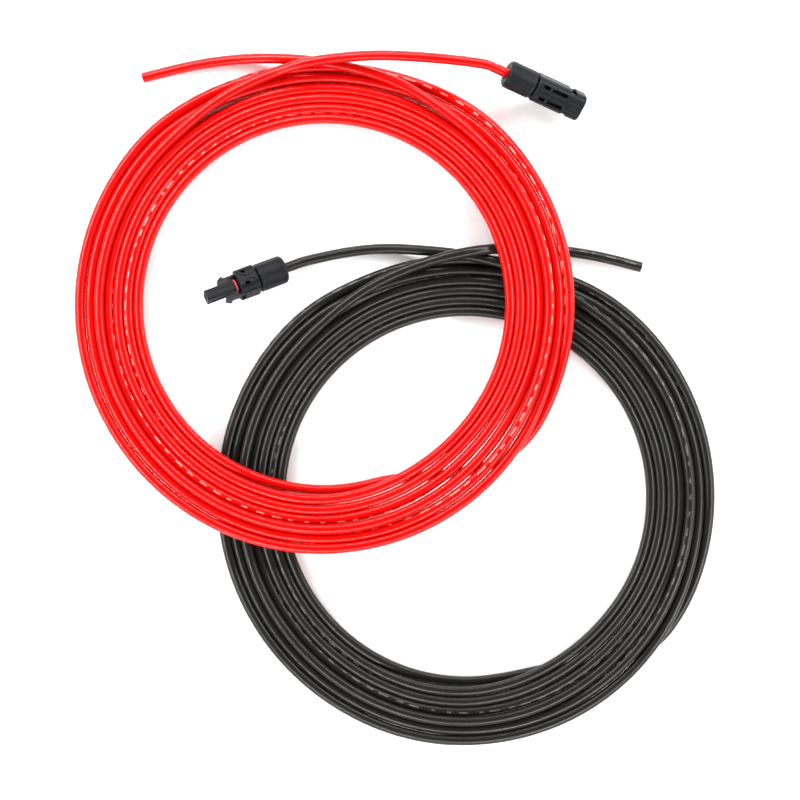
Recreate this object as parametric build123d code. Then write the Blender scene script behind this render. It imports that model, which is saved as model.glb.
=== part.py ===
"""A pair of photovoltaic extension leads, one red and one black, each wound in a round coil.

The red lead ends in the pin connector, the black lead in the socket connector, and the other
end of each cable is cut square and bare.  Lengths are millimetres.  The frame stands under the
middle of the two connectors, on the surface that everything lies on: +X runs from the socket
connector towards the pin connector, +Y away from the coils and +Z up.

Each connector is built along its own +X axis, which starts at the rear face of its nut and
points the way that it plugs in.
"""
import os
from math import cos, pi, radians, sin, sqrt, tan

from build123d import *

# ---- cable ----------------------------------------------------------------------------------
cable_d = 6.9               # outside of the sheath, 6 mm2 photovoltaic cable
conductor_d = 3.1           # tinned copper strand bundle
cable_stub = 14.0           # conductor length sunk in a cut end

# ---- contacts -------------------------------------------------------------------------------
pin_d = 4.0
pin_len = 19.0
pin_slip = 0.15             # radial room round the pin in the socket's lip
socket_wall = 0.7
spring_len = 4.8
spring_t = 0.5              # it stands 0.2 proud of the bore, so that it grips the pin
barrel_wall = 0.85
barrel_len = 9.0
contact_slip = 0.1          # radial room round a contact in its housing
collar_len = 1.2
collar_step = 0.7           # how far the collar stands out from the barrel
clip_len = 1.4
end_gap = 0.2               # axial room between pieces that stop each other

# ---- gland: seal, collet and nut ------------------------------------------------------------
seal_wall = 2.0
seal_len = 7.0
seal_slip = 0.1
collet_body = 2.2
collet_slots = 6
collet_slip = 0.45          # radial room round the cable in the collet
stub_wall = 1.45
stub_start = 6.0            # rear end of the threaded stub, from the nut's rear face
thread_pitch = 2.0
thread_depth = 0.35
nut_slip = 0.2              # radial room between the nut's bore and the thread crests
nut_wall = 2.3
nut_len = 19.7
nut_mouth_gap = 0.85        # radial room round the cable in the nut's mouth
nut_mouth_len = 1.6
nut_round = 2.6
nut_panels = 8
nut_panel_w = 4.3
nut_panel_depth = 0.45
groove = 1.3                # open groove between nut and housing

# ---- housings -------------------------------------------------------------------------------
partition = 2.9
probe_wall = 1.05
probe_round = 1.5
probe_len = 23.0
probe_lip = 1.2
cavity_slip = 0.21
mouth_step = 0.3
channel_web = 0.45
arm_slip = 0.25
arm_t = 1.75
arm_w = 5.0
arm_reach = 11.5            # how far the latch arms stand out past the flange
barb = 1.3
barb_slip = 0.3
shell_skin = 0.85
body_round = 5.5
socket_body_len = 13.6      # socket housing, groove to flange
recess_depth = 4.0
ring_d = 1.1                # section of the sealing ring
window_len = 4.4
window_half = 7.6          # half the height of a latch window
nose_room = 1.9            # depth of the pin housing beyond a probe that is home
slot_w = 2.3
slot_depth = 4.0
vent_depth = 2.4            # the socket housing's windows
bow_rise = 0.6              # the bowed ribs beside them

# ---- where the connectors lie ---------------------------------------------------------------
pin_rear = Vector(73.0, 72.5, 25.4)
pin_heading, pin_pitch, pin_roll = -23.1, -16.0, 18.0
socket_rear = Vector(-74.5, -56.3, 8.75)
socket_heading, socket_pitch, socket_roll = 201.2, 16.0, 22.0

# ---- coils ----------------------------------------------------------------------------------
coil_in_r = 120.3
coil_out_r = 166.3
coil_peak_r = 149.5         # the one raised turn
coil_rise = 4.05            # how far the raised turn stands above the flat layer
black_coil_at = Vector(46.7, -208.3, 0)
red_coil_at = Vector(-48.0, -80.0, 0)
red_coil_slope = 0.073      # rise of the red coil towards the black one that it leans on

# ---- worked out from the above --------------------------------------------------------------
cable_r = cable_d / 2
conductor_r = conductor_d / 2
seal_r = cable_r + seal_wall
seal_bore_r = seal_r + seal_slip
stub_r = seal_bore_r + stub_wall
nut_bore_r = stub_r + nut_slip
nut_r = nut_bore_r + nut_wall
mouth_r = cable_r + nut_mouth_gap

x_seal = stub_start + collet_body + end_gap
x_seat = x_seal + seal_len + end_gap / 2
x_sheath = x_seat + 1.5
x_barrel = x_sheath + end_gap
x_crimp = x_barrel + barrel_len
x_pocket = x_crimp - 1.0
x_clip = x_pocket + end_gap
x_collar = x_clip + clip_len + end_gap
x_pocket_end = x_collar + collar_len + end_gap
x_cavity = x_pocket_end + partition
x_body = nut_len + groove
x_pin_tip = x_cavity + pin_len
x_pin_front = x_cavity + probe_len + nose_room
x_flange = x_body + socket_body_len
x_probe = x_flange + probe_len

pin_r = pin_d / 2
barrel_bore_r = conductor_r + 0.1
barrel_r = barrel_bore_r + barrel_wall
collar_r = barrel_r + collar_step
pocket_r = collar_r + end_gap
socket_bore_r = pin_r + pin_slip
socket_r = socket_bore_r + socket_wall
probe_bore_r = socket_r + contact_slip
probe_half = probe_bore_r + probe_wall
cavity_r = probe_half * sqrt(2) - probe_round * (sqrt(2) - 1) + cavity_slip
cavity_mouth_r = cavity_r + mouth_step
channel_in = cavity_mouth_r + channel_web
arm_in = channel_in + arm_slip
arm_out = arm_in + arm_t
channel_out = arm_out + barb_slip
body_half = channel_out + shell_skin
arm_tip = x_flange + arm_reach
slot_row = body_half * 0.48
ring_seat_r = probe_half - 0.05
x_arm_pivot = x_flange - 7.3
arm_root_r = arm_t / 2


# ---- helpers --------------------------------------------------------------------------------
def turned(*points):
    """A body of revolution about X, from its half section as (x, r) points."""
    return revolve(make_face(Polyline(*points, close=True)), axis=Axis.X)


def ring(x0, x1, r_in, r_out):
    return turned((x0, r_in), (x1, r_in), (x1, r_out), (x0, r_out))


def rod(x0, x1, r):
    return turned((x0, 0), (x1, 0), (x1, r), (x0, r))


def block(x0, x1, y0, y1, z0, z1):
    return Pos((x0 + x1) / 2, (y0 + y1) / 2, (z0 + z1) / 2) * Box(x1 - x0, y1 - y0, z1 - z0)


def square_bar(x0, x1, half, corner):
    """A rounded square bar along X."""
    return extrude(Plane.YZ.offset(x0) * RectangleRounded(2 * half, 2 * half, corner), amount=x1 - x0)


def end_edges(shape, x):
    """The edges that lie wholly in the plane at x."""
    return [e for e in shape.edges() if abs(e.bounding_box().min.X - x) < 1e-4
            and abs(e.bounding_box().max.X - x) < 1e-4]


def placed(rear, heading, pitch, roll):
    """Where a connector stands: its rear point, then heading, nose up or down, and roll."""
    a, b, c = radians(heading), radians(pitch), radians(roll)
    ahead = Vector(cos(b) * cos(a), cos(b) * sin(a), sin(b))
    up = (Vector(0, 0, 1) - ahead * ahead.Z).normalized()
    side = up.cross(ahead)
    return Plane(origin=rear, x_dir=ahead, z_dir=up * cos(c) - side * sin(c)).location


pin_place = placed(pin_rear, pin_heading, pin_pitch, pin_roll)
socket_place = placed(socket_rear, socket_heading, socket_pitch, socket_roll)


# ---- pieces that both connectors share ------------------------------------------------------
def nut():
    cone_end = stub_start - end_gap
    body = turned(
        (0, mouth_r), (nut_mouth_len, mouth_r), (cone_end, nut_bore_r - 0.6), (cone_end, nut_bore_r),
        (nut_len, nut_bore_r), (nut_len, nut_r - 0.5), (nut_len - 0.5, nut_r), (0, nut_r),
    )
    rear = [e for e in end_edges(body, 0) if e.radius > (nut_r + mouth_r) / 2]
    body = fillet(rear, min(nut_round, nut_r - mouth_r - 0.4))
    mouth = [e for e in end_edges(body, 0) if e.radius < mouth_r + 0.1]
    body = chamfer(mouth, 0.4)
    panel = block(nut_round + 1.4, nut_len - 2.6, -nut_panel_w / 2, nut_panel_w / 2,
                  nut_r - nut_panel_depth, nut_r + 1)
    for i in range(nut_panels):
        body -= Rot(360 * i / nut_panels, 0, 0) * panel
    return body


def collet():
    """The clamping cage: slit fingers under the nut's cone, a flange and a short body."""
    flange_r = stub_r - 0.5
    bore = cable_r + collet_slip
    body = turned(
        (nut_mouth_len + 0.3, bore), (stub_start + collet_body, bore),
        (stub_start + collet_body, seal_r - 0.05), (stub_start - end_gap / 2, seal_r - 0.05),
        (stub_start - end_gap / 2, flange_r), (stub_start - 0.9, flange_r - 0.3),
        (nut_mouth_len + 0.3, mouth_r - 0.25),
    )
    slit = block(0, stub_start - 1.2, -0.35, 0.35, 0, nut_r)
    for i in range(collet_slots):
        body -= Rot(360 * (i + 0.5) / collet_slots, 0, 0) * slit
    return body


def cable_seal():
    """The rubber sleeve that the collet squeezes on the cable, with shallow outer ribs."""
    x0, x1 = x_seal, x_seal + seal_len
    body = ring(x0, x1, cable_r, seal_r)
    step = seal_len / 4
    for i in range(1, 4):
        body -= ring(x0 + i * step - 0.3, x0 + i * step + 0.3, seal_r - 0.35, seal_r + 1)
    return body


def retaining_clip():
    body = ring(x_clip, x_clip + clip_len, barrel_r + 0.05, pocket_r - 0.05)
    return body - block(x_clip - 1, x_clip + clip_len + 1, -0.6, 0.6, 0, pocket_r + 1)


def conductor():
    return rod(x_sheath - cable_stub, x_crimp - 0.1, conductor_r)


def rear_stub():
    """The threaded rear of either housing, which takes the collet and the seal."""
    body = ring(stub_start, x_body + 0.5, seal_bore_r, stub_r - thread_depth)
    crest = ring(0, thread_pitch / 2, stub_r - thread_depth - 0.05, stub_r)
    turns = int((nut_len - stub_start - 2.0) / thread_pitch)
    for i in range(turns):
        body += Pos(stub_start + 0.8 + i * thread_pitch, 0, 0) * crest
    body += rod(x_seat, x_body + 0.5, stub_r - thread_depth)
    return body


def contact_bore(front_r, x_front):
    """The stepped hole for the cable's end and the contact, from the seal's seat forwards."""
    return turned(
        (x_seat - 0.5, 0), (x_seat - 0.5, cable_r + 0.2), (x_sheath + 0.2, cable_r + 0.2),
        (x_sheath + 0.2, barrel_r + 0.15), (x_pocket, barrel_r + 0.15), (x_pocket, pocket_r),
        (x_pocket_end, pocket_r), (x_pocket_end, front_r), (x_front, front_r), (x_front, 0),
    )


# ---- pin connector --------------------------------------------------------------------------
def pin_housing():
    shell = square_bar(x_body, x_pin_front, body_half, body_round)
    shell = fillet(end_edges(shell, x_pin_front), 1.2)
    shell = chamfer(end_edges(shell, x_body), 0.6)
    body = shell + rear_stub()
    body -= contact_bore(barrel_r + contact_slip, x_cavity + 0.5)
    body -= rod(x_cavity, x_pin_front + 1, cavity_r)
    body -= rod(x_pin_tip + 0.5, x_pin_front + 1, cavity_mouth_r)
    x_window = x_pin_front - (arm_reach + 0.6)
    slot_1, slot_2, slot_3 = x_body + 4.2, x_body + 10.5, x_window - 1.4
    for side in (1, -1):
        y0, y1 = sorted((side * channel_in, side * channel_out))
        body -= block(x_window, x_pin_front + 1, y0, y1, -arm_w / 2 - 0.4, arm_w / 2 + 0.4)
        y0, y1 = sorted((side * (channel_out - 1.2), side * (body_half + 1)))
        body -= block(x_window, x_window + window_len, y0, y1, -window_half, window_half)
        for face in (1, -1):
            z0, z1 = sorted((face * (body_half - slot_depth), face * (body_half + 1)))
            y0, y1 = side * slot_row - slot_w / 2, side * slot_row + slot_w / 2
            body -= block(slot_1, slot_1 + 4.5, y0, y1, z0, z1)
            body -= block(slot_2, slot_3, y0, y1, z0, z1)
            z0, z1 = sorted((face * (body_half - 0.5), face * (body_half + 0.4)))
            rib = block(x_body + 2.5, x_pin_front - 3, side * 1.6 - 0.35, side * 1.6 + 0.35, z0, z1)
            body += chamfer(rib.edges().group_by(Axis.Z)[-1 if face > 0 else 0], 0.25)
    return body


def contact_pin():
    body = turned(
        (x_barrel, barrel_bore_r), (x_crimp, barrel_bore_r), (x_crimp + 0.6, 0), (x_pin_tip, 0),
        (x_pin_tip, pin_r - 0.9), (x_pin_tip - 0.9, pin_r), (x_cavity + 0.4, pin_r),
        (x_cavity, barrel_r), (x_collar + collar_len, barrel_r), (x_collar + collar_len, collar_r),
        (x_collar, collar_r), (x_collar, barrel_r), (x_barrel, barrel_r),
    )
    return body


# ---- socket connector -----------------------------------------------------------------------
def socket_housing():
    shell = square_bar(x_body, x_flange, body_half, body_round)
    shell = fillet(end_edges(shell, x_flange), 0.7)
    shell = chamfer(end_edges(shell, x_body), 0.6)
    recess_r = channel_out - 0.7
    shell -= rod(x_flange - recess_depth, x_flange + 1, recess_r)
    body = shell + rear_stub()
    body += rod(x_flange - recess_depth - 0.5, x_flange + 0.7, probe_half + 0.5)
    seat_end = x_flange + 0.7 + ring_d + 0.3
    body += rod(x_flange, seat_end + 0.5, ring_seat_r)
    probe = square_bar(seat_end, x_probe, probe_half, probe_round)
    probe = fillet(end_edges(probe, x_probe), 0.6)
    for i in range(4):
        flute = block(seat_end + 2, x_probe - 3, -1.1, 1.1, probe_half - 0.4, probe_half + 1)
        probe -= Rot(90 * i, 0, 0) * flute
    body += probe
    body -= contact_bore(probe_bore_r, x_probe - probe_lip)
    body -= rod(x_probe - probe_lip - 0.5, x_probe + 1, socket_bore_r + 0.25)
    slot_start = x_arm_pivot - arm_root_r - arm_slip
    for side in (1, -1):
        y0, y1 = sorted((side * (arm_in - 0.6), side * (arm_out + 0.35)))
        body -= block(slot_start, x_flange + 1, y0, y1, -arm_w / 2 - 0.3, arm_w / 2 + 0.3)
        y0, y1 = sorted((side * arm_out, side * (body_half + 1)))
        body -= block(x_flange - 2.6, x_flange + 1, y0, y1, -arm_w / 2 - 0.3, arm_w / 2 + 0.3)
        for face in (1, -1):
            z0, z1 = sorted((face * (body_half - vent_depth), face * (body_half + 1)))
            body -= block(x_flange - 6.8, x_flange - 2.6, side * slot_row - slot_w / 2,
                          side * slot_row + slot_w / 2, z0, z1)
            z0, z1 = sorted((face * (body_half - 0.7), face * (body_half + bow_rise)))
            bow = Pos(x_flange - 7.6, side * 6.6, z0) * (
                extrude(Circle(5.8) - Circle(4.9), amount=z1 - z0))
            body += bow & block(x_body + 0.9, x_flange - 0.8, *sorted((0, side * 5.2)), z0, z1)
    return body


def latch_arm(side):
    """One springy latch arm: round root, straight beam and an outward barb near the tip."""
    x_barb = arm_tip - 4.4
    beam = make_face(Polyline(
        (x_arm_pivot, arm_in), (arm_tip - 0.5, arm_in), (arm_tip, arm_in + 0.5), (arm_tip, arm_out - 0.5),
        (arm_tip - 2.6, arm_out + barb), (x_barb + 0.3, arm_out + barb), (x_barb, arm_out),
        (x_arm_pivot, arm_out), close=True))
    outline = beam + Pos(x_arm_pivot, arm_in + arm_t / 2) * Circle(arm_root_r)
    body = Pos(0, 0, -arm_w / 2) * extrude(outline, amount=arm_w)
    return body if side > 0 else mirror(body, Plane.XZ)


def contact_socket():
    x_end = x_probe - probe_lip - 0.1
    x_spring = x_end - 4.2 - spring_len
    body = turned(
        (x_barrel, barrel_bore_r), (x_crimp, barrel_bore_r), (x_crimp + 0.6, 0),
        (x_end - pin_len, 0), (x_end - pin_len, socket_bore_r),
        (x_spring, socket_bore_r), (x_spring, socket_bore_r + 0.35),
        (x_spring + spring_len, socket_bore_r + 0.35), (x_spring + spring_len, socket_bore_r),
        (x_end, socket_bore_r), (x_end, socket_r), (x_collar + collar_len, socket_r),
        (x_collar + collar_len, collar_r), (x_collar, collar_r), (x_collar, barrel_r),
        (x_barrel, barrel_r),
    )
    return body


def contact_spring():
    """The louvred band that grips the pin, seated in a groove inside the socket."""
    x0 = x_probe - probe_lip - 0.1 - 4.2 - spring_len + 0.1
    x1 = x0 + spring_len - 0.2
    outer = socket_bore_r + 0.3
    body = ring(x0, x1, outer - spring_t, outer)
    louvre = block(x0 + 1.2, x1 - 1.2, -0.25, 0.25, 0, outer + 1)
    for i in range(8):
        body -= Rot(45 * i, 0, 0) * louvre
    return body


def sealing_ring():
    r = ring_d / 2
    x = x_flange + 0.7 + r + 0.1
    return revolve(Pos(x, ring_seat_r + r + 0.02) * Circle(r), axis=Axis.X)


# ---- cables ---------------------------------------------------------------------------------
def along(place, x):
    """A point on a connector's axis, in the common frame."""
    return (place * Location((x, 0, 0))).position


# from inside each connector to its coil, then from the coil to the bare end
red_lead_route = [
    along(pin_place, x_sheath), along(pin_place, -8.0), Vector(30.0, 81.4, 33.4), Vector(-10.0, 84.6, 27.0),
    Vector(-42.0, 82.9, 19.9), Vector(-64.0, 79.2, 19.4), Vector(-82.0, 73.6, 12.4), Vector(-101.0, 65.8, 11.5),
    Vector(-120.0, 55.0, 10.1), Vector(-136.5, 42.4, 8.9),
]
red_tail_route = [
    Vector(25.0, 53.4, 15.6), Vector(5.0, 65.5, 15.9), Vector(-17.0, 74.0, 14.4), Vector(-40.0, 79.6, 12.8),
    Vector(-62.0, 82.6, 12.1), Vector(-82.0, 83.9, 9.7), Vector(-102.0, 84.0, 4.9), Vector(-124.0, 81.7, 3.5),
    Vector(-147.0, 77.2, 3.5), Vector(-169.4, 71.3, 3.5),
]
black_lead_route = [
    along(socket_place, x_sheath), along(socket_place, -8.0), Vector(-31.0, -44.6, 3.5), Vector(-7.3, -42.5, 3.8),
    Vector(12.7, -43.7, 8.4), Vector(32.7, -45.5, 10.2), Vector(54.7, -48.8, 9.4), Vector(77.7, -54.6, 9.6),
    Vector(98.5, -63.0, 10.0),
]
black_tail_route = [
    Vector(-41.3, -85.5, 7.9), Vector(-25.3, -73.3, 9.2), Vector(-6.3, -62.5, 10.4), Vector(13.7, -54.3, 11.4),
    Vector(32.7, -48.7, 17.6), Vector(50.0, -45.2, 17.8), Vector(66.0, -43.0, 10.8), Vector(83.0, -43.2, 6.9),
    Vector(100.0, -43.8, 3.7), Vector(119.0, -45.1, 3.5), Vector(142.0, -49.2, 3.5), Vector(164.3, -55.3, 3.5),
]


def cable_tube(name, route):
    """A tube of the cable's size along straight runs joined by large tangent arcs."""
    runs = [(b - a) for a, b in zip(route, route[1:])]
    radii = []
    for a, b in zip(runs, runs[1:]):
        turn = a.get_angle(b)
        radii.append(0.45 * min(a.length, b.length) / tan(radians(turn / 2)))
    path = FilletPolyline(*route, radius=radii)
    tube = sweep(Plane(origin=path @ 0, z_dir=path % 0) * Circle(cable_r), path=path)
    print(f"{name}: length {path.length:.1f}, volume/section {tube.volume / (pi * cable_r**2):.1f}, "
          f"radii {[round(r) for r in radii]}, runs {[round(r.length, 1) for r in runs]}")
    return tube


def drilled(tube, start, inwards, depth):
    """The tube with its strand bundle's room taken out of one end."""
    plane = Plane(origin=start - inwards, z_dir=inwards)
    return tube - extrude(plane * Circle(conductor_r), amount=depth + 1)


def cut_end(route):
    """The strand bundle that shows in a square cut end."""
    outwards = (route[-1] - route[-2]).normalized()
    start = route[-1] - outwards * cable_stub / 2
    return extrude(Plane(origin=start, z_dir=outwards) * Circle(conductor_r), amount=cable_stub / 2 + 0.2)


def coil(at, slope):
    """The outer shape of a coil: a closed ring, low at both edges and higher at the raised turn."""
    lean = (black_coil_at - red_coil_at).normalized()
    section = make_face(Polyline(
        (coil_in_r, 0), (coil_out_r, 0), (coil_out_r, cable_d), (coil_peak_r + 5, cable_d + coil_rise),
        (coil_peak_r - 5, cable_d + coil_rise), (coil_in_r, cable_d), close=True))
    body = revolve(Plane.XZ * section, axis=Axis.Z)
    angle = 180 / pi * slope
    axis = Axis((0, 0, 0), Vector(0, 0, 1).cross(lean))
    body = body.rotate(axis, -angle)
    low = body.bounding_box().min.Z
    return Pos(at.X, at.Y, -low) * body


# ---- write the pieces -----------------------------------------------------------------------
red_lead = cable_tube("red_cable_lead", red_lead_route)
red_tail = cable_tube("red_cable_tail", red_tail_route)
black_lead = cable_tube("black_cable_lead", black_lead_route)
black_tail = cable_tube("black_cable_tail", black_tail_route)


def end_drilled(tube, route, depth, at_start):
    ends = (route[0], route[1]) if at_start else (route[-1], route[-2])
    return drilled(tube, ends[0], (ends[1] - ends[0]).normalized(), depth)


nodes = {
    "red_housing": pin_place * pin_housing(),
    "red_nut": pin_place * nut(),
    "red_collet": pin_place * collet(),
    "red_cable_seal": pin_place * cable_seal(),
    "red_contact_pin": pin_place * contact_pin(),
    "red_retaining_clip": pin_place * retaining_clip(),
    "red_conductor": pin_place * conductor(),
    "red_cable_lead": end_drilled(red_lead, red_lead_route, cable_stub, True),
    "red_cable_coil": coil(red_coil_at, red_coil_slope),
    "red_cable_tail": end_drilled(red_tail, red_tail_route, cable_stub / 2, False),
    "red_tail_conductor": cut_end(red_tail_route),
    "black_housing": socket_place * socket_housing(),
    "black_latch_arm_left": socket_place * latch_arm(1),
    "black_latch_arm_right": socket_place * latch_arm(-1),
    "black_sealing_ring": socket_place * sealing_ring(),
    "black_nut": socket_place * nut(),
    "black_collet": socket_place * collet(),
    "black_cable_seal": socket_place * cable_seal(),
    "black_contact_socket": socket_place * contact_socket(),
    "black_contact_spring": socket_place * contact_spring(),
    "black_retaining_clip": socket_place * retaining_clip(),
    "black_conductor": socket_place * conductor(),
    "black_cable_lead": end_drilled(black_lead, black_lead_route, cable_stub, True),
    "black_cable_coil": coil(black_coil_at, 0),
    "black_cable_tail": end_drilled(black_tail, black_tail_route, cable_stub / 2, False),
    "black_tail_conductor": cut_end(black_tail_route),
}

os.makedirs("parts", exist_ok=True)
for node, shape in nodes.items():
    export_step(shape, f"parts/{node}.step")
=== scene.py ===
# %% [markdown]
# A pair of photovoltaic extension leads, one red and one black. Each is about six and a half
# metres of cable, wound in one flat round coil, with a connector on one end and a square cut on
# the other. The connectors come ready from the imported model. This script makes the cables, the
# copper that shows in their cut ends and every finish.

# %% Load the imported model
import bpy
from math import cos, pi, radians, sin, tan
from mathutils import Matrix, Vector


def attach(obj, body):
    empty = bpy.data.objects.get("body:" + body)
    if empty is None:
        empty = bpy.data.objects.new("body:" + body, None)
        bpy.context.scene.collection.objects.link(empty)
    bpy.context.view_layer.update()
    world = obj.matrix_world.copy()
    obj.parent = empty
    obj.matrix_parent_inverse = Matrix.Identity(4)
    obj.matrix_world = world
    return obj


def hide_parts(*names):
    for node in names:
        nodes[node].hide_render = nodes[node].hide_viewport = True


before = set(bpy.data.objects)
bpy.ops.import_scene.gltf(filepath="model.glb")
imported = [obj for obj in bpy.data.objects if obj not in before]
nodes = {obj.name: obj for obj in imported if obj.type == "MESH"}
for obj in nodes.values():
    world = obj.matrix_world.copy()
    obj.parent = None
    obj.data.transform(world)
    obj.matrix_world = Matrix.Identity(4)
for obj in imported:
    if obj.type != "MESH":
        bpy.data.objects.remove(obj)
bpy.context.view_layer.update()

# %% [markdown]
# The leads lie flat and are seen from straight above, so a long lens held high keeps the coils
# round and shows no more of one side of a strand than of the other.

# %% Camera
field = 0.5333
lens_mm, sensor_mm = 150.0, 36.0
view_x, view_y = 0.00267, -0.144
view_level = 0.010


def make_camera():
    data = bpy.data.cameras.new("camera")
    data.lens, data.sensor_width = lens_mm, sensor_mm
    data.clip_start, data.clip_end = 0.05, 20.0
    camera = bpy.data.objects.new("camera", data)
    camera.location = (view_x, view_y, view_level + field * lens_mm / sensor_mm)
    bpy.context.scene.collection.objects.link(camera)
    bpy.context.scene.camera = camera
    return camera


camera = make_camera()
print("camera height", round(camera.location.z, 3))

# %% [markdown]
# A seamless pale floor and soft lamps are what a catalogue studio uses for glossy cable. Softboxes
# stand all round, close and fairly low, and look down steeply, so each lights the strands nearest
# to it. That draws one bright line along the outer side of every strand and leaves its inner side
# deep. One more softbox, higher and farther off, gives the plastic its shape. The plain view
# transform keeps a strong red strong.

# %% Floor
floor_reach = 6.0


def make_floor():
    mesh = bpy.data.meshes.new("studio_floor")
    a, b = -floor_reach, floor_reach
    mesh.from_pydata([(a, a, 0), (b, a, 0), (b, b, 0), (a, b, 0)], [], [(0, 1, 2, 3)])
    floor = bpy.data.objects.new("studio_floor", mesh)
    bpy.context.scene.collection.objects.link(floor)
    return floor


floor = make_floor()
print("floor", floor.name)


# %% Lamps
def make_lamp(name, at, aim, size, watts):
    data = bpy.data.lights.new(name, "AREA")
    data.shape = "RECTANGLE"
    data.size, data.size_y = size
    data.energy = watts
    lamp = bpy.data.objects.new(name, data)
    lamp.location = at
    lamp.rotation_euler = (Vector(aim) - Vector(at)).to_track_quat("-Z", "Y").to_euler()
    bpy.context.scene.collection.objects.link(lamp)
    return lamp


ring_of_lamps, ring_radius, ring_height, aim_radius = 8, 0.80, 0.50, 0.45
ring_size, ring_watts, ring_spread = (0.55, 0.11), 2.7, 110
key_at, key_size, key_watts = (-1.3, 1.0, 1.3), (0.5, 0.5), 9
lamps = []
for i in range(ring_of_lamps):
    way = 2 * pi * (i + 0.5) / ring_of_lamps
    at = (view_x + ring_radius * cos(way), view_y + ring_radius * sin(way), ring_height)
    aim = (view_x + aim_radius * cos(way), view_y + aim_radius * sin(way), 0)
    lamp = make_lamp(f"softbox_{i}", at, aim, ring_size, ring_watts)
    lamp.data.spread = radians(ring_spread)
    lamps.append(lamp)
lamps.append(make_lamp("key_softbox", key_at, (view_x, view_y, 0), key_size, key_watts))
for lamp in lamps:
    lamp.visible_camera = False
bpy.context.scene.view_settings.view_transform = "Standard"
print(len(lamps), "lamps")


# %% Air round the set
fill, backdrop = 0.06, 0.90


def make_world():
    """Pale where the lens sees past the floor, and yet it lights the cables only a little."""
    world = bpy.data.worlds.new("studio_world")
    world.use_nodes = True
    tree = world.node_tree
    background = tree.nodes["Background"]
    background.inputs["Color"].default_value = (1, 1, 1, 1)
    seen = tree.nodes.new("ShaderNodeLightPath")
    strength = tree.nodes.new("ShaderNodeMapRange")
    strength.inputs["To Min"].default_value = fill
    strength.inputs["To Max"].default_value = backdrop
    tree.links.new(seen.outputs["Is Camera Ray"], strength.inputs["Value"])
    tree.links.new(strength.outputs["Result"], background.inputs["Strength"])
    return world


bpy.context.scene.world = make_world()
print("world", bpy.context.scene.world.name)

# %% [markdown]
# The cable is an extruded plastic sheath over fine copper. It comes off a drum with a springy
# set, so it is wound by hand in turns that lie beside each other, seven of them, and one turn
# rides in the valley between two others. A coil like this could be drawn turn by turn, but a
# short rule does it better: a turn keeps its place for most of the way round and moves one place
# inwards at the bottom right, where the innermost turn slips out under all the others. A spline
# cuts its corners, so the points stand a little outside the radius that the cable is to have.

# %% Sizes of the coils
cable_d = 0.0069
cable_r = cable_d / 2
coil_out_r = 0.1663
red_centre = Vector((-0.048, -0.080, 0))
black_centre = Vector((0.0467, -0.2083, 0))
red_slope = 0.073
lean = (black_centre - red_centre).normalized()
steps_per_turn = 30
spline_pull = 0.75 + 0.25 * cos(2 * pi / steps_per_turn)
print("the spline keeps to", round(spline_pull, 4), "of its points' radius")

# %% Where each turn lies: radius and height over the flat layer, on the left and on the right
places = {
    "inner": (0.1238, 0.0), "second": (0.1306, 0.0), "third": (0.1374, 0.0),
    "fourth": (0.1441, 0.0), "raised": (0.1498, 0.00405), "fifth": (0.1560, 0.0),
    "outer": (0.1630, 0.0),
}
turns = [
    # left, right, where the change starts and how long it is, in degrees from the top
    ("raised", "fourth", 181, 66), ("fourth", "third", 169, 69), ("third", "second", 170, 57),
    ("second", "inner", 170, 48), ("inner", "outer", 200, 36), ("outer", "fifth", 199, 65),
    ("fifth", "raised", 194, 65),
]
under_turn = 4
# at the top no turn is raised, so the two outer ones close up to the rest
tuck, tucked_from = 0.0046, 0.1545
tuck_end, tuck_start = (20, 26), (318, 26)
# and where one turn slips under the others, those six close up towards the middle of the band
squeeze, band_middle = 0.06, 0.1434
squeezed = (165, 40, 210, 26)
print(len(turns), "turns")


# %% The rule for one turn
def eased(angle, start, width):
    """Goes smoothly from 0 to 1, from an angle and over a width."""
    t = min(max((angle - start) / width, 0.0), 1.0)
    return t * t * (3 - 2 * t)


def hump(angle, up_start, up_width, down_start, down_width):
    """Rises from 0 to 1 and falls again, each from an angle and over a width."""
    return eased(angle, up_start, up_width) * (1 - eased(angle, down_start, down_width))


def turn_at(turn, angle):
    """Radius, and height over the flat layer, of a turn at an angle from the top."""
    left, right, start, width = turns[turn]
    share = eased(angle, start, width)
    (r0, z0), (r1, z1) = places[left], places[right]
    r, z = r0 + (r1 - r0) * share, z0 + (z1 - z0) * share
    if r > tucked_from:
        r -= tuck * (1 - eased(angle, *tuck_end) + eased(angle, *tuck_start))
    if turn != under_turn:
        r += (band_middle - r) * squeeze * hump(angle, *squeezed)
    return r, z


print("the first turn at the bottom:", [round(v, 4) for v in turn_at(0, 210)])


# %% Points of a coil, from one angle to another, in degrees anticlockwise from the top
red_dip, black_lift = (142, 28, 240, 28), (142, 28, 242, 30)
last_turn = 360 * (len(turns) - 1)


def out_from(centre, angle, r):
    """The point at radius r, set out so that the spline itself keeps to r."""
    way = Vector((-sin(radians(angle)), cos(radians(angle)), 0))
    return centre + way * (r / spline_pull)


def coil_points(first, last, point_at):
    count = round(abs(last - first) / 360 * steps_per_turn)
    points = []
    for i in range(count + 1):
        along = first + (last - first) * i / count
        turn = min(int(along // 360), len(turns) - 1)
        points.append(point_at(turn, along - 360 * turn))
    return points


def red_coil_point(turn, angle):
    """The red coil leans on the black one, and its slipped turn dips into the open middle."""
    r, rise = turn_at(turn, angle)
    if turn == under_turn:
        rise -= cable_d * hump(angle, *red_dip)
    p = out_from(red_centre, angle, r)
    p.z = (coil_out_r + (p - red_centre).dot(lean)) * tan(red_slope) + cable_r + rise
    return p


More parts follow.
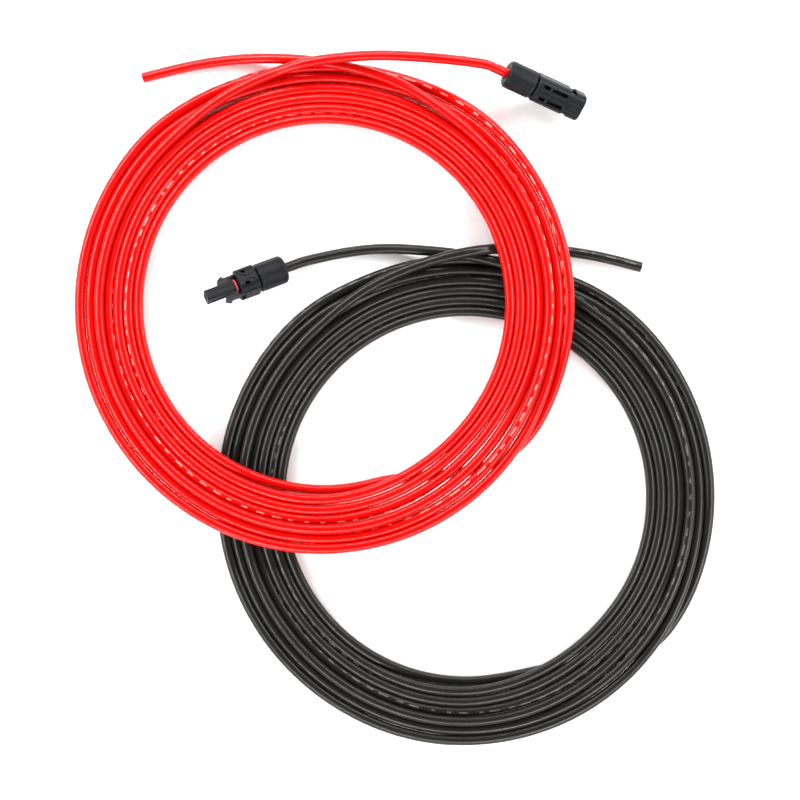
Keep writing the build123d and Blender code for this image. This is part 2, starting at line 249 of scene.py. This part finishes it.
def black_coil_point(turn, angle):
    """The black coil lies on the floor, so the others ride over its slipped turn."""
    r, rise = turn_at(turn, angle)
    if turn != under_turn:
        rise += cable_d * hump(angle, *black_lift)
    p = out_from(black_centre, angle, r)
    p.z = cable_r + rise
    return p


joins_at, red_leaves_at, black_leaves_at = 48, last_turn + 319, last_turn + 328
red_turns = coil_points(joins_at, red_leaves_at, red_coil_point)
black_turns = coil_points(black_leaves_at, joins_at, black_coil_point)
print(len(red_turns), "and", len(black_turns), "points in the coils")

# %% [markdown]
# Each cable leaves its connector's nut straight, stays straight for a few diameters, as a stiff
# cable does, and comes down in one long curve to join the raised turn. At the other end it leaves
# the coil on the opposite side, so that the two ends cross at the top.

# %% Routes outside the coils, in metres
def placed(rear, heading, pitch):
    """A connector's rear point and the direction that it faces."""
    a, b = radians(heading), radians(pitch)
    return Vector(rear), Vector((cos(b) * cos(a), cos(b) * sin(a), sin(b)))


red_rear, red_ahead = placed((0.0730, 0.0725, 0.0254), -23.1, -16.0)
black_rear, black_ahead = placed((-0.0745, -0.0563, 0.00875), 201.2, 16.0)
sheath_start, straight_end, bend_start = 0.017, -0.008, -0.015
red_lead = [
    red_rear + red_ahead * sheath_start, red_rear + red_ahead * straight_end,
    red_rear + red_ahead * bend_start,
    (0.0300, 0.0814, 0.0334), (-0.0100, 0.0846, 0.0270), (-0.0420, 0.0829, 0.0205),
    (-0.0640, 0.0792, 0.0202), (-0.0820, 0.0736, 0.0124), (-0.1010, 0.0658, 0.0122),
    (-0.1200, 0.0550, 0.0115), (-0.1365, 0.0424, 0.0096),
]
red_tail = [
    (0.0250, 0.0534, 0.0170), (0.0050, 0.0655, 0.0164), (-0.0170, 0.0740, 0.0149),
    (-0.0400, 0.0796, 0.0134), (-0.0620, 0.0826, 0.0121), (-0.0820, 0.0839, 0.0097),
    (-0.1020, 0.0840, 0.0049), (-0.1240, 0.0817, 0.0035), (-0.1470, 0.0772, 0.0035),
    (-0.1694, 0.0713, 0.0035),
]
black_lead = [
    black_rear + black_ahead * sheath_start, black_rear + black_ahead * straight_end,
    black_rear + black_ahead * bend_start,
    (-0.0310, -0.0446, 0.0035), (-0.0073, -0.0425, 0.0038), (0.0127, -0.0437, 0.0084),
    (0.0327, -0.0455, 0.0102), (0.0547, -0.0488, 0.0103), (0.0777, -0.0546, 0.0103),
    (0.0985, -0.0630, 0.0102),
]
black_tail = [
    (-0.0413, -0.0855, 0.0083), (-0.0253, -0.0733, 0.0101), (-0.0063, -0.0625, 0.0107),
    (0.0137, -0.0543, 0.0114), (0.0327, -0.0487, 0.0176), (0.0500, -0.0452, 0.0178),
    (0.0660, -0.0430, 0.0108), (0.0830, -0.0432, 0.0069), (0.1000, -0.0438, 0.0037),
    (0.1190, -0.0451, 0.0035), (0.1420, -0.0492, 0.0035), (0.1643, -0.0553, 0.0035),
]
print("ends", [round(v, 3) for v in red_tail[-1]], [round(v, 3) for v in black_tail[-1]])


# %% One smooth spline for a whole cable
def make_cable(name, points):
    data = bpy.data.curves.new(name, "CURVE")
    data.dimensions = "3D"
    data.twist_mode = "Z_UP"
    data.bevel_depth = cable_r
    data.bevel_resolution = 8
    data.use_fill_caps = True
    spline = data.splines.new("NURBS")
    spline.points.add(len(points) - 1)
    for point, place in zip(spline.points, points):
        point.co = (*place, 1)
    spline.order_u = 3
    spline.use_endpoint_u = True
    spline.resolution_u = 8
    cable = bpy.data.objects.new(name, data)
    bpy.context.scene.collection.objects.link(cable)
    return cable


def line_of(cable):
    """The points of the cable's own centre line."""
    bare = cable.copy()
    bare.data = cable.data.copy()
    bare.data.bevel_depth = 0
    bpy.context.scene.collection.objects.link(bare)
    graph = bpy.context.evaluated_depsgraph_get()
    mesh = bpy.data.meshes.new_from_object(bare.evaluated_get(graph))
    points = [v.co.copy() for v in mesh.vertices]
    bpy.data.objects.remove(bare)
    bpy.data.meshes.remove(mesh)
    return points


red_cable = make_cable("red_cable", red_lead + red_turns + red_tail)
black_cable = make_cable("black_cable", black_lead + black_turns + black_tail)
red_line, black_line = line_of(red_cable), line_of(black_cable)


def length_of(line):
    return sum((b - a).length for a, b in zip(line, line[1:]))


red_length, black_length = length_of(red_line), length_of(black_line)
print("lengths", round(red_length, 3), round(black_length, 3))

# %% [markdown]
# A finish starts from one plain shader. A few small helpers wire the nodes, so that each
# material below reads as a short recipe: colour, gloss and a fine surface.

# %% Helpers for materials
def new_material(name):
    material = bpy.data.materials.new(name)
    material.use_nodes = True
    tree = material.node_tree
    return material, tree, tree.nodes["Principled BSDF"]


def add_node(tree, kind, **values):
    node = tree.nodes.new(kind)
    for key, value in values.items():
        if key in node.inputs:
            node.inputs[key].default_value = value
        else:
            setattr(node, key, value)
    return node


def maths(tree, operation, a, b=None, clamp=False):
    node = tree.nodes.new("ShaderNodeMath")
    node.operation, node.use_clamp = operation, clamp
    for socket, value in zip(node.inputs, (a, b)):
        if value is None:
            continue
        if isinstance(value, (int, float)):
            socket.default_value = value
        else:
            tree.links.new(value, socket)
    return node.outputs[0]


def noise(tree, scale, detail):
    """A noise in the piece's own place, so that it stays put when the piece moves."""
    where = tree.nodes.new("ShaderNodeTexCoord")
    node = add_node(tree, "ShaderNodeTexNoise", Scale=scale, Detail=detail, Roughness=0.5)
    tree.links.new(where.outputs["Object"], node.inputs["Vector"])
    return node.outputs["Fac"]


def between(tree, amount, low, high):
    """A colour that goes from low to high with the amount."""
    ramp = tree.nodes.new("ShaderNodeValToRGB")
    ramp.color_ramp.elements[0].color = (*low, 1)
    ramp.color_ramp.elements[1].color = (*high, 1)
    tree.links.new(amount, ramp.inputs["Fac"])
    return ramp.outputs["Color"]


def overlaid(tree, shader, amount, colour, top):
    """The base colour: one colour, with another on top where the amount says so."""
    mix = tree.nodes.new("ShaderNodeMix")
    mix.data_type = "RGBA"
    tree.links.new(amount, mix.inputs["Factor"])
    tree.links.new(colour, mix.inputs["A"])
    mix.inputs["B"].default_value = (*top, 1)
    tree.links.new(mix.outputs["Result"], shader.inputs["Base Color"])


def roughened(tree, shader, amount, low, high):
    span = tree.nodes.new("ShaderNodeMapRange")
    span.inputs["To Min"].default_value, span.inputs["To Max"].default_value = low, high
    tree.links.new(amount, span.inputs["Value"])
    tree.links.new(span.outputs["Result"], shader.inputs["Roughness"])


def bumped(tree, shader, height, depth, strength):
    bump = add_node(tree, "ShaderNodeBump", Strength=strength, Distance=depth)
    tree.links.new(height, bump.inputs["Height"])
    tree.links.new(bump.outputs["Normal"], shader.inputs["Normal"])


print("helpers ready")

# %% [markdown]
# The sheath is cross-linked polyolefin, pressed round the conductor while it is hot. It is glossy
# with a trace of the die's fine lines along it, and a pale row of printed marks that repeats every
# so often. The print is a row of plain dashes here. The spline's own map runs once along the
# cable and once round it, so the dashes follow the cable through every turn.

# %% Cable sheath
mark_step = 0.0105                    # from one dash to the next, in metres
mark_least, mark_spread = 0.2, 0.5    # shares of a step that a dash fills
print_roll, print_swing = 1.55, 0.15  # the print goes once round in so many metres, unevenly
print_half_width = 0.024              # a share of the way round
print_worn = 0.40
top_shift = 20.25                     # whole turns keep it positive, a quarter puts it on top
die_lines_round, die_lines_along = 60.0, 14.0


def printed_marks(tree, along, around, print_up):
    """1 on the dashes of the printed row, and 0 beside them."""
    roll = maths(tree, "MULTIPLY", maths(tree, "SUBTRACT", along, print_up), 1 / print_roll)
    wave = maths(tree, "SINE", maths(tree, "MULTIPLY", roll, 2 * pi))
    print_at = maths(tree, "ADD", roll, maths(tree, "MULTIPLY", wave, print_swing))
    off_print = maths(tree, "SUBTRACT", around, print_at)
    shifted = maths(tree, "FRACT", maths(tree, "ADD", off_print, top_shift))
    off_line = maths(tree, "ABSOLUTE", maths(tree, "SUBTRACT", shifted, 0.5))
    on_line = maths(tree, "LESS_THAN", off_line, print_half_width)
    step = maths(tree, "MULTIPLY", along, 1 / mark_step)
    chance = tree.nodes.new("ShaderNodeTexWhiteNoise")
    chance.noise_dimensions = "1D"
    tree.links.new(maths(tree, "FLOOR", step), chance.inputs["W"])
    longer = maths(tree, "MULTIPLY", chance.outputs["Value"], mark_spread)
    mark_share = maths(tree, "ADD", longer, mark_least)
    on_mark = maths(tree, "LESS_THAN", maths(tree, "FRACT", step), mark_share)
    unworn = maths(tree, "GREATER_THAN", noise(tree, 1300.0, 2.0), print_worn)
    return maths(tree, "MULTIPLY", maths(tree, "MULTIPLY", on_line, on_mark), unworn)


def die_lines(tree, along, around):
    """Faint lines along the cable."""
    drawn = add_node(tree, "ShaderNodeTexNoise", Scale=1.0, Detail=2.0)
    drawn.noise_dimensions = "2D"
    stretch = tree.nodes.new("ShaderNodeCombineXYZ")
    tree.links.new(maths(tree, "MULTIPLY", around, die_lines_round), stretch.inputs["X"])
    tree.links.new(maths(tree, "MULTIPLY", along, die_lines_along), stretch.inputs["Y"])
    tree.links.new(stretch.outputs[0], drawn.inputs["Vector"])
    return drawn.outputs["Fac"]


def sheath_finish(name, low, high, ink, length, gloss, ink_strength, print_up):
    material, tree, shader = new_material(name)
    colour = between(tree, noise(tree, 60.0, 4.0), low, high)
    uv = tree.nodes.new("ShaderNodeUVMap")
    split = tree.nodes.new("ShaderNodeSeparateXYZ")
    tree.links.new(uv.outputs["UV"], split.inputs[0])
    along, around = maths(tree, "MULTIPLY", split.outputs["X"], length), split.outputs["Y"]
    marks = printed_marks(tree, along, around, print_up)
    overlaid(tree, shader, maths(tree, "MULTIPLY", marks, ink_strength), colour, ink)
    roughened(tree, shader, noise(tree, 240.0, 3.0), gloss - 0.05, gloss + 0.07)
    bumped(tree, shader, die_lines(tree, along, around), 0.00006, 0.5)
    shader.inputs["Specular IOR Level"].default_value = 0.32
    return material


red_sheath = sheath_finish(
    "red_sheath", (0.50, 0.0, 0.0), (0.61, 0.001, 0.0), ink=(1.0, 0.30, 0.26),
    length=red_length, gloss=0.29, ink_strength=0.8, print_up=1.5)
black_sheath = sheath_finish(
    "black_sheath", (0.006, 0.0055, 0.0045), (0.011, 0.0103, 0.0085), ink=(0.18, 0.17, 0.16),
    length=black_length, gloss=0.31, ink_strength=0.5, print_up=2.0)
for cable, finish in ((red_cable, red_sheath), (black_cable, black_sheath)):
    cable.data.materials.append(finish)
print(red_sheath.name, black_sheath.name)

# %% [markdown]
# The connector bodies are moulded from a tough charcoal plastic. The mould's surface is lightly
# sparked, so it is satin and a little blue next to the cable, and a painted highlight makes its
# sharp edges paler.

# %% Moulded plastic
edge_highlight_from, edge_highlight_gain, edge_highlight_paleness = 0.53, 6.0, 2.5


def plastic_finish(name, low, high, gloss, grain):
    material, tree, shader = new_material(name)
    colour = between(tree, noise(tree, 180.0, 5.0), low, high)
    edge = tree.nodes.new("ShaderNodeNewGeometry").outputs["Pointiness"]
    # painted highlight: where the surface is sharply convex, the colour is mixed towards a paler
    # one
    past = maths(tree, "SUBTRACT", edge, edge_highlight_from)
    painted_edge_highlight = maths(tree, "MULTIPLY", past, edge_highlight_gain, clamp=True)
    overlaid(tree, shader, painted_edge_highlight, colour, [edge_highlight_paleness * v for v in high])
    roughened(tree, shader, noise(tree, 700.0, 2.0), gloss - 0.06, gloss + 0.08)
    bumped(tree, shader, noise(tree, 2600.0, 2.0), 0.00004, grain)
    shader.inputs["Specular IOR Level"].default_value = 0.14
    return material


housing_plastic = plastic_finish(
    "housing_plastic", (0.004, 0.0044, 0.0056), (0.007, 0.0078, 0.0097), gloss=0.40, grain=0.5)
nut_plastic = plastic_finish(
    "nut_plastic", (0.0048, 0.0052, 0.0064), (0.0085, 0.0093, 0.0113), gloss=0.46, grain=0.8)
cage_plastic = plastic_finish(
    "cage_plastic", (0.10, 0.10, 0.10), (0.14, 0.14, 0.14), gloss=0.5, grain=0.4)
print("plastics ready")

# %% [markdown]
# The seals are silicone rubber. The ring on the probe is the one bright spot of colour, and it
# is soft and a little cloudy. The contacts are turned copper with a thin coat of tin, which
# keeps the turning lines.

# %% Rubber and metal
def rubber_finish(name, low, high):
    material, tree, shader = new_material(name)
    colour = between(tree, noise(tree, 400.0, 3.0), low, high)
    tree.links.new(colour, shader.inputs["Base Color"])
    roughened(tree, shader, noise(tree, 900.0, 2.0), 0.42, 0.58)
    bumped(tree, shader, noise(tree, 3000.0, 2.0), 0.00003, 0.5)
    shader.inputs["Subsurface Weight"].default_value = 0.15
    shader.inputs["Subsurface Scale"].default_value = 0.001
    return material


def metal_finish(name, low, high, gloss):
    material, tree, shader = new_material(name)
    colour = between(tree, noise(tree, 500.0, 4.0), low, high)
    tree.links.new(colour, shader.inputs["Base Color"])
    roughened(tree, shader, noise(tree, 1500.0, 3.0), gloss - 0.08, gloss + 0.10)
    bumped(tree, shader, noise(tree, 4000.0, 2.0), 0.00003, 0.5)
    shader.inputs["Metallic"].default_value = 1.0
    return material


ring_rubber = rubber_finish("ring_rubber", (0.50, 0.035, 0.05), (0.66, 0.06, 0.08))
seal_rubber = rubber_finish("seal_rubber", (0.05, 0.05, 0.055), (0.08, 0.08, 0.085))
tin = metal_finish("tinned_contact", (0.55, 0.54, 0.51), (0.72, 0.71, 0.68), 0.30)
spring_metal = metal_finish("spring_metal", (0.60, 0.47, 0.28), (0.74, 0.60, 0.38), 0.28)
strand_metal = metal_finish("tinned_strand", (0.50, 0.46, 0.42), (0.70, 0.67, 0.63), 0.34)
print("rubber and metal ready")

# %% [markdown]
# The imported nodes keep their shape, and each gets the finish of its kind. A node's name starts
# with its lead's colour, and the rest of the name says what it is. The cables are made here, so
# their nodes are left out.

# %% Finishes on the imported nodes
finish_of = {
    "housing": housing_plastic, "latch_arm_left": housing_plastic,
    "latch_arm_right": housing_plastic, "nut": nut_plastic, "collet": cage_plastic,
    "cable_seal": seal_rubber, "sealing_ring": ring_rubber, "contact_pin": tin,
    "contact_socket": tin, "contact_spring": spring_metal, "retaining_clip": spring_metal,
    "conductor": strand_metal, "tail_conductor": strand_metal,
}
finished = 0
for name, node in nodes.items():
    kind = name.split("_", 1)[1]
    if kind in finish_of:
        node.data.materials.clear()
        node.data.materials.append(finish_of[kind])
        finished += 1
print("finished", finished, "nodes")

# %% [markdown]
# A cut end shows the conductor: some sixty fine tinned wires, laid in rings and turned a little
# from ring to ring. They repeat, so Geometry Nodes lay them: rings of points, and on each point
# one short wire. Placing each wire by hand would look the same for much more work. The tree's
# inputs are the wire's radius, the pitch of the rings, the length and the metal.

# %% Tree for the strand bundle
rings, wires_more_a_ring, turn_a_ring = 4, 6, 0.37
middle_wires, middle_ring = 3, 0.35
sides_of_wire = 10


def strand_tree():
    tree = bpy.data.node_groups.new("strand_bundle", "GeometryNodeTree")
    face = tree.interface
    for name, kind, value in (("Wire radius", "NodeSocketFloat", 0.00017),
                              ("Pitch", "NodeSocketFloat", 0.00034),
                              ("Length", "NodeSocketFloat", 0.007),
                              ("Metal", "NodeSocketMaterial", None)):
        socket = face.new_socket(name, in_out="INPUT", socket_type=kind)
        if value is not None:
            socket.default_value = value
    face.new_socket("Geometry", in_out="OUTPUT", socket_type="NodeSocketGeometry")
    given, out = tree.nodes.new("NodeGroupInput"), tree.nodes.new("NodeGroupOutput")
    link = tree.links.new
    join = tree.nodes.new("GeometryNodeJoinGeometry")
    for ring in range(rings + 1):
        circle = tree.nodes.new("GeometryNodeMeshCircle")
        circle.inputs["Vertices"].default_value = max(wires_more_a_ring * ring, middle_wires)
        size = tree.nodes.new("ShaderNodeMath")
        size.operation = "MULTIPLY"
        size.inputs[1].default_value = max(ring, middle_ring)
        link(given.outputs["Pitch"], size.inputs[0])
        link(size.outputs[0], circle.inputs["Radius"])
        turn = tree.nodes.new("GeometryNodeTransform")
        turn.inputs["Rotation"].default_value = (0, 0, turn_a_ring * ring)
        link(circle.outputs["Mesh"], turn.inputs["Geometry"])
        link(turn.outputs["Geometry"], join.inputs["Geometry"])
    wire = tree.nodes.new("GeometryNodeMeshCylinder")
    wire.inputs["Vertices"].default_value = sides_of_wire
    link(given.outputs["Wire radius"], wire.inputs["Radius"])
    link(given.outputs["Length"], wire.inputs["Depth"])
    dots = tree.nodes.new("GeometryNodeInstanceOnPoints")
    link(join.outputs["Geometry"], dots.inputs["Points"])
    link(wire.outputs["Mesh"], dots.inputs["Instance"])
    real = tree.nodes.new("GeometryNodeRealizeInstances")
    link(dots.outputs["Instances"], real.inputs["Geometry"])
    paint = tree.nodes.new("GeometryNodeSetMaterial")
    link(real.outputs["Geometry"], paint.inputs["Geometry"])
    link(given.outputs["Metal"], paint.inputs["Material"])
    link(paint.outputs["Geometry"], out.inputs["Geometry"])
    return tree


bundle_tree = strand_tree()
print("inputs", [s.name for s in bundle_tree.interface.items_tree if s.in_out == "INPUT"])


# %% Turn a tree into a plain mesh
def grown(name, tree, values, place):
    """A new object with the tree's result as its mesh, placed in the mesh itself."""
    seed = bpy.data.objects.new(name + "_seed", bpy.data.meshes.new(name + "_seed"))
    bpy.context.scene.collection.objects.link(seed)
    modifier = seed.modifiers.new("tree", "NODES")
    modifier.node_group = tree
    for item in tree.interface.items_tree:
        if item.in_out == "INPUT" and item.name in values:
            modifier[item.identifier] = values[item.name]
    bpy.context.view_layer.update()
    graph = bpy.context.evaluated_depsgraph_get()
    mesh = bpy.data.meshes.new_from_object(seed.evaluated_get(graph))
    seed.modifiers.remove(modifier)
    bpy.data.objects.remove(seed)
    mesh.name = name
    mesh.transform(place)
    piece = bpy.data.objects.new(name, mesh)
    bpy.context.scene.collection.objects.link(piece)
    return piece


def standing_at(origin, z_dir):
    """A place at origin whose own Z points along z_dir."""
    turn = Vector(z_dir).to_track_quat("Z", "Y").to_matrix().to_4x4()
    return Matrix.Translation(origin) @ turn


# %% A bundle in each cut end
bundle_len, proud = 0.0062, 0.0003
bundles = {}
for colour, line in (("red", red_line), ("black", black_line)):
    outwards = (line[-1] - line[-2]).normalized()
    place = standing_at(line[-1] + outwards * (proud - bundle_len / 2), outwards)
    values = {"Length": bundle_len, "Metal": strand_metal}
    bundle = grown(colour + "_cut_strands", bundle_tree, values, place)
    bundles[colour] = bundle
    print(bundle.name, len(bundle.data.polygons), "faces")

# %% [markdown]
# Every piece now goes on its body, and the imported pieces that they replace are hidden.

# %% Ride and replace
for colour, cable, length, rear in (("red", red_cable, red_length, red_rear),
                                    ("black", black_cable, black_length, black_rear)):
    body = colour + "_lead"
    bundle = bundles[colour]
    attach(cable, body)
    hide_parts(colour + "_cable_lead", colour + "_cable_coil", colour + "_cable_tail")
    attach(bundle, body)
    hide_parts(colour + "_tail_conductor")

# %% [markdown]
# The floor is matt white paper. The lamps reach only the middle of it, so past them the sheet
# glows a little and stays pale as far as it goes. More lamps would do that too, but they would
# also put more lines on the cables.

# %% Floor finish
glow_from, glow_to, glow_strength = 0.75, 1.3, 0.85


def floor_finish():
    material, tree, shader = new_material("studio_floor")
    colour = between(tree, noise(tree, 2.0, 2.0), (0.93, 0.93, 0.93), (0.96, 0.96, 0.96))
    tree.links.new(colour, shader.inputs["Base Color"])
    shader.inputs["Roughness"].default_value = 0.9
    shader.inputs["Specular IOR Level"].default_value = 0.1
    where = tree.nodes.new("ShaderNodeTexCoord")
    reach = add_node(tree, "ShaderNodeVectorMath", operation="LENGTH")
    tree.links.new(where.outputs["Object"], reach.inputs[0])
    glow = tree.nodes.new("ShaderNodeMapRange")
    glow.inputs["From Min"].default_value = glow_from
    glow.inputs["From Max"].default_value = glow_to
    glow.inputs["To Max"].default_value = glow_strength
    tree.links.new(reach.outputs["Value"], glow.inputs["Value"])
    tree.links.new(glow.outputs["Result"], shader.inputs["Emission Strength"])
    shader.inputs["Emission Color"].default_value = (1, 1, 1, 1)
    return material


floor.data.materials.append(floor_finish())
print("floor finish", floor.data.materials[0].name)
